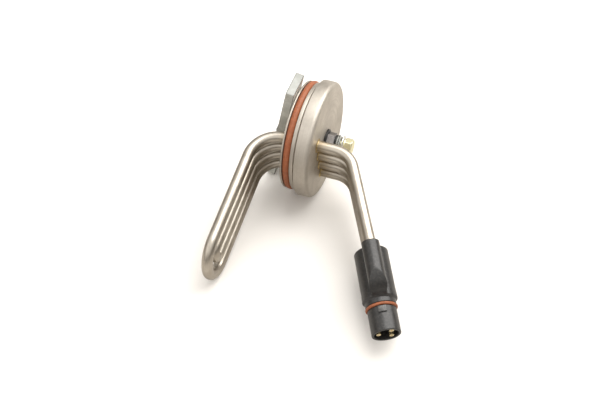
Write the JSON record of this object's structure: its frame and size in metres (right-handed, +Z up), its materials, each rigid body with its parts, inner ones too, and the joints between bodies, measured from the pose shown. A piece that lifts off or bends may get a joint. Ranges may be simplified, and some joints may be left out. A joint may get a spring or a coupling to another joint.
{
  "type": "engine block heater",
  "caption": "Plate-mounted immersion heater for an engine block: nested bent hairpin elements through a turned cover plate, a swinging clamp bar on a centre screw and a moulded connector.",
  "frame": {"origin": "centre of the flange's seat face, on the cover plate's axis", "axes": "+X along the plate's axis, from the engine side out to the screw head; +Z up as the heater lies on a table, at right angles to the plate's axis; the hairpin legs run towards -Y"},
  "size_m": [0.1428, 0.1762, 0.0911],
  "materials": {
    "plate": "turned, matte",
    "o_ring": "satin",
    "sheath": "satin drawn tube",
    "filling": "compacted mineral powder",
    "coil": "resistance wire",
    "terminal": "drawn",
    "end_seal": "matte",
    "braze": "rough",
    "black_rubber": "satin",
    "dark_steel": "dark phosphated",
    "black_washer": "matte",
    "zinc": "bright zinc plated",
    "yellow_zinc": "yellow zinc plated",
    "boot": "moulded, satin",
    "carrier": "moulded, matte",
    "contact": "polished",
    "lead": "insulated wire"
  },
  "bodies": {
    "heater": {"cover_plate": "plate", "plate_o_ring": "o_ring", "outer_element_sheath": "sheath", "inner_element_sheath": "sheath", "outer_element_filling": "filling", "inner_element_filling": "filling", "outer_heating_coil": "coil", "inner_heating_coil": "coil", "outer_terminal_pins": "terminal", "inner_terminal_pins": "terminal", "tube_end_seals": "end_seal", "braze_rings": "braze", "screw_seal": "black_rubber", "spacer_nut": "dark_steel", "insulating_washer": "black_washer", "plain_washer": "zinc", "plug_boot": "boot", "plug_o_ring": "o_ring", "contact_carrier": "carrier", "line_contact": "contact", "neutral_contact": "contact", "earth_contact": "contact", "line_link": "terminal", "neutral_link": "terminal", "earth_strap": "terminal", "line_lead": "lead", "neutral_lead": "lead", "earth_lead": "lead"},
    "screw": {"clamp_screw": "yellow_zinc", "spring_washer": "zinc"},
    "nut": {"clamp_nut": "zinc"},
    "bar": {"clamp_bar": "zinc"}
  },
  "joints": [
    {"name": "nut_travel", "type": "slide", "parent": "heater", "child": "nut", "axis": [1, 0, 0], "range_m": [0, 0.00939]},
    {"name": "screw_turn", "type": "hinge", "parent": "heater", "child": "screw", "pos_m": [0, 0, 0], "axis": [-1, 0, 0], "range_deg": [0, 3380.5]},
    {"name": "bar_swing", "type": "hinge", "parent": "nut", "child": "bar", "pos_m": [-0.02311, 0, -0.005], "axis": [0, -1, 0], "range_deg": [0, 11.5]}
  ],
  "couplings": [
    {"joint": "screw_turn", "follows": "nut_travel", "rad_per_m": 6283.2},
    {"joint": "bar_swing", "follows": "nut_travel", "rad_per_m": 21.375}
  ]
}
